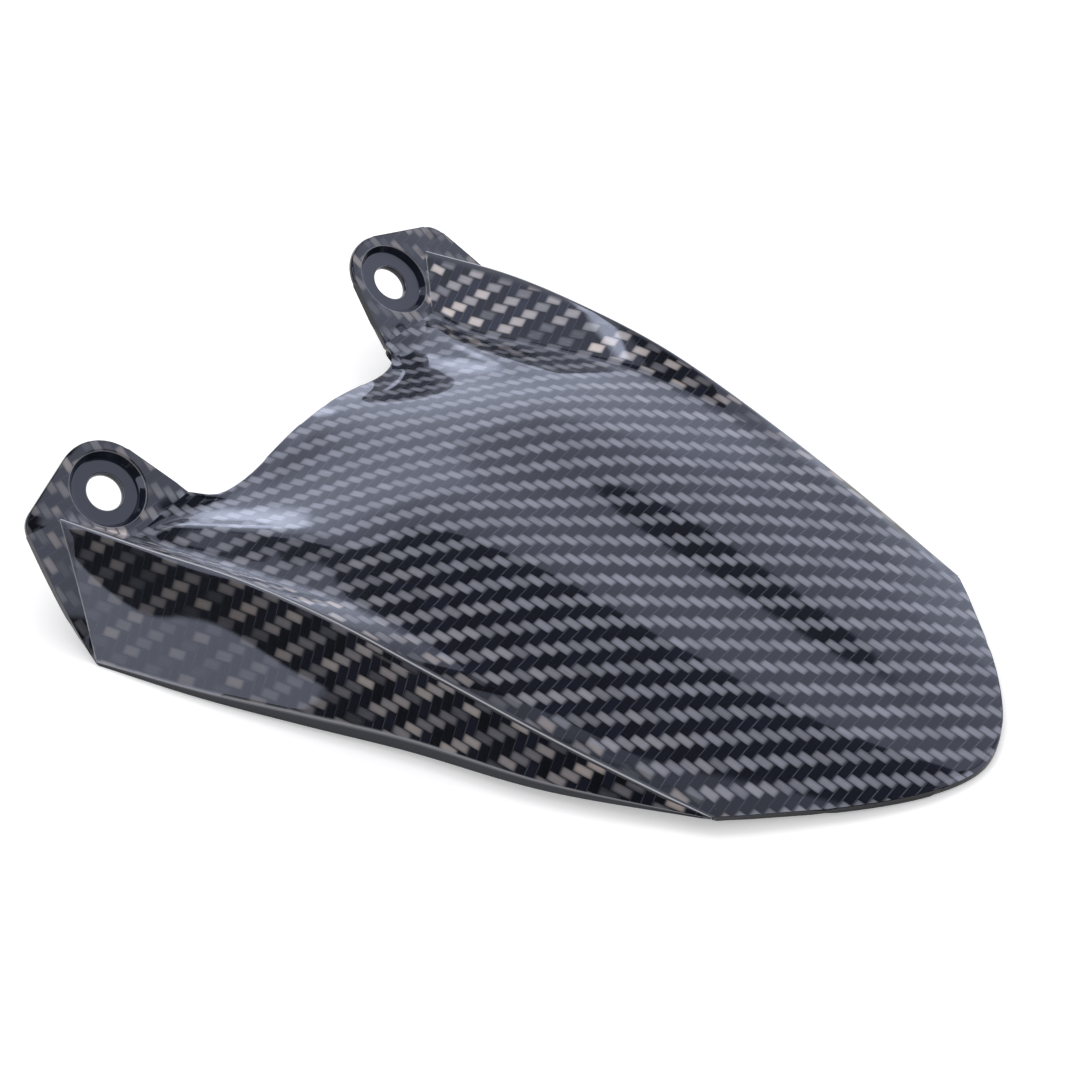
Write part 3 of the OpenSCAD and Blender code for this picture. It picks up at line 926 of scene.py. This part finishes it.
# Gives the eye a plain white ground that still takes the part's soft shadow
@dataclass(frozen=True)
class PalePaper:
    """Matt studio paper: a faint light of its own keeps it white where the camera sees it."""

    paper: str = "#ececee"
    light: str = "#ffffff"
    lift: float = 0.35

    def build(self) -> bpy.types.Material:
        """Makes the material from its values.

        Returns:
            The material.
        """
        mat = bpy.data.materials.new("pale_paper")
        mat.use_nodes = True
        t = mat.node_tree
        t.nodes.clear()
        seen = add(t, "ShaderNodeLightPath").outputs["Is Camera Ray"]
        sheet = add(t, "ShaderNodeBsdfDiffuse", srgb(self.paper))
        lift = add(t, MATH, seen, self.lift, operation="MULTIPLY")
        glow = add(t, "ShaderNodeEmission", srgb(self.light), lift)
        both = add(t, "ShaderNodeAddShader", sheet, glow)
        add(t, "ShaderNodeOutputMaterial", both)
        return mat


@dataclass(frozen=True)
class SoftBox:
    """A soft box that the gloss shows, by its direction from the part, in degrees."""

    turn: float
    rise: float
    half_turn: float
    half_rise: float
    glow: float
    soft: float = 3.0
    slant: float = 0.0

    def shine(self, t: bpy.types.NodeTree, turn: bpy.types.Node,
              rise: bpy.types.Node) -> bpy.types.Node:
        """Works out how bright the box is in each direction.

        Args:
            t: The world's nodes.
            turn: Direction round the part, in degrees.
            rise: Direction above the floor, in degrees.

        Returns:
            The brightness.
        """
        apart = add(t, MATH, turn, self.turn, operation="SUBTRACT")
        off = add(t, MATH, apart, 180.0, -180.0, operation="WRAP")
        beyond = add(t, MATH, off, 0.0, operation="MAXIMUM")
        lean = add(t, MATH, beyond, self.slant, operation="MULTIPLY")
        leant = add(t, MATH, rise, lean, operation="ADD")
        above = add(t, MATH, leant, self.rise, operation="SUBTRACT")
        high = add(t, MATH, above, operation="ABSOLUTE")
        wide = add(t, MATH, off, operation="ABSOLUTE")
        shine = self.glow
        for value, half in ((wide, self.half_turn), (high, self.half_rise)):
            edge = add(t, "ShaderNodeMapRange", value, half - self.soft, half + self.soft,
                       1.0, 0.0, interpolation_type="SMOOTHSTEP")
            shine = add(t, MATH, edge, shine, operation="MULTIPLY")
        return shine


@dataclass
class PhotoStudio:
    """Camera, lights and the pale floor, with the camera where the photograph has it."""

    stand: RestingPlace
    boxes: tuple[SoftBox, ...] = (
        SoftBox(122, 14.5, 40, 36.8, 1.25, 0.6, 0.3),
        SoftBox(125, 4, 42, 30, 1.75, 6.0),
        SoftBox(142, 13, 5, 7, 4.4, 4.0),
        SoftBox(-133, 27.5, 29.4, 12, 2.6, 0.6),
        SoftBox(-172, 48, 22, 14, 1.1, 2.0),
        SoftBox(-170, 60, 9, 9, 8.0, 3.0),
        SoftBox(-58, 59, 20, 12, 1.2, 2.0),
        SoftBox(52, 31, 27, 30, 1.8, 4.0),
        SoftBox(130, 82, 180, 11, 1.0, 1.5),
    )
    dark_room: float = 0.05
    soft_light: float = 0.78
    daylight: str = "#dee6ff"
    white: str = "#ffffff"
    floor_half: float = 3.0
    key_place: tuple[float, float, float] = (-0.5, 0.4, 1.0)
    key_side: float = 0.9
    key_watts: float = 5.0
    key_aim: tuple[float, float, float] = (0.0, 0.0, 0.01)
    eye: Vector = field(default_factory=lambda: Vector((338.055, -372.010, 365.306)))
    yaw: float = 2.2087
    pitch: float = 0.6766
    focal_px: float = 3500.0
    frame_px: float = 1080.0
    sensor_mm: float = 36.0
    seen_from: float = 0.01
    seen_to: float = 20.0

    def camera(self) -> None:
        """Sets the camera at the photograph's place and angle."""
        cam = bpy.data.cameras.new("photo_camera")
        cam.sensor_width = self.sensor_mm
        cam.lens = self.focal_px / self.frame_px * self.sensor_mm
        cam.clip_start, cam.clip_end = self.seen_from, self.seen_to
        obj = bpy.data.objects.new("photo_camera", cam)
        fwd = Vector((math.cos(self.yaw) * math.cos(self.pitch),
                      math.sin(self.yaw) * math.cos(self.pitch), -math.sin(self.pitch)))
        right = Vector((math.sin(self.yaw), -math.cos(self.yaw), 0))
        up = right.cross(fwd)
        axes = [self.stand.turn(v) for v in (right, up, -fwd)]
        turn = Matrix(axes).transposed()
        obj.matrix_world = Matrix.Translation(self.stand.place(self.eye)) @ turn.to_4x4()
        bpy.context.scene.collection.objects.link(obj)
        bpy.context.scene.camera = obj

    def key_box(self) -> None:
        """Hangs the soft box that shades the part and lays its shadow."""
        light = bpy.data.lights.new("key_box", "AREA")
        light.shape = "RECTANGLE"
        light.size = light.size_y = self.key_side
        light.energy = self.key_watts
        obj = bpy.data.objects.new("key_box", light)
        obj.visible_glossy = False
        obj.location = self.key_place
        aim = Vector(self.key_aim) - Vector(self.key_place)
        obj.rotation_euler = aim.to_track_quat("-Z", "Y").to_euler()
        bpy.context.scene.collection.objects.link(obj)

    def floor(self) -> None:
        """Lays the pale floor."""
        bm = bmesh.new()
        bmesh.ops.create_grid(bm, x_segments=1, y_segments=1, size=self.floor_half)
        mesh = bpy.data.meshes.new("floor")
        bm.to_mesh(mesh)
        bm.free()
        mesh.materials.append(PalePaper().build())
        obj = bpy.data.objects.new("floor", mesh)
        bpy.context.scene.collection.objects.link(obj)

    def world(self) -> None:
        """Sets a white backdrop, an even soft light, and the soft boxes that the gloss shows."""
        world = bpy.data.worlds.new("studio")
        bpy.context.scene.world = world
        world.use_nodes = True
        t = world.node_tree
        t.nodes.clear()
        way = add(t, "ShaderNodeTexCoord").outputs["Generated"]
        split = add(t, "ShaderNodeSeparateXYZ", way)
        round_it = add(t, MATH, split.outputs[1], split.outputs[0], operation="ARCTAN2")
        turn = add(t, MATH, round_it, operation="DEGREES")
        above = add(t, MATH, split.outputs[2], operation="ARCSINE")
        rise = add(t, MATH, above, operation="DEGREES")
        shown = self.dark_room
        for box in self.boxes:
            shown = add(t, MATH, box.shine(t, turn, rise), shown, operation="MAXIMUM")
        path = add(t, "ShaderNodeLightPath")
        soft = add(t, MIX, inputs={0: path.outputs["Is Glossy Ray"], 2: self.soft_light, 3: shown})
        tone = add(t, MIX, inputs={0: path.outputs["Is Camera Ray"], 2: soft, 3: 1.0})
        tint = add(t, MIX, inputs={0: path.outputs["Is Glossy Ray"], 6: srgb(self.white),
                                   7: srgb(self.daylight)}, data_type="RGBA").outputs[2]
        back = add(t, "ShaderNodeBackground", tint, tone)
        add(t, "ShaderNodeOutputWorld", back)

    def build(self) -> None:
        """Sets up the whole studio."""
        self.camera()
        self.key_box()
        self.floor()
        self.world()
        bpy.context.scene.view_settings.view_transform = "Standard"


def main() -> None:
    """Builds the part and its studio."""
    logging.basicConfig(level=logging.INFO)
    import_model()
    stand = RestingPlace()
    PhotoStudio(stand).build()
    shell = HuggerShell(Skin(), stand)
    piece = shell.build(TwillLaminate().build())
    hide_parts("hugger_shell")
    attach(piece, "root")
    log.info("hugger_skin: %d faces", len(piece.data.polygons))


if __name__ == "__main__":
    main()
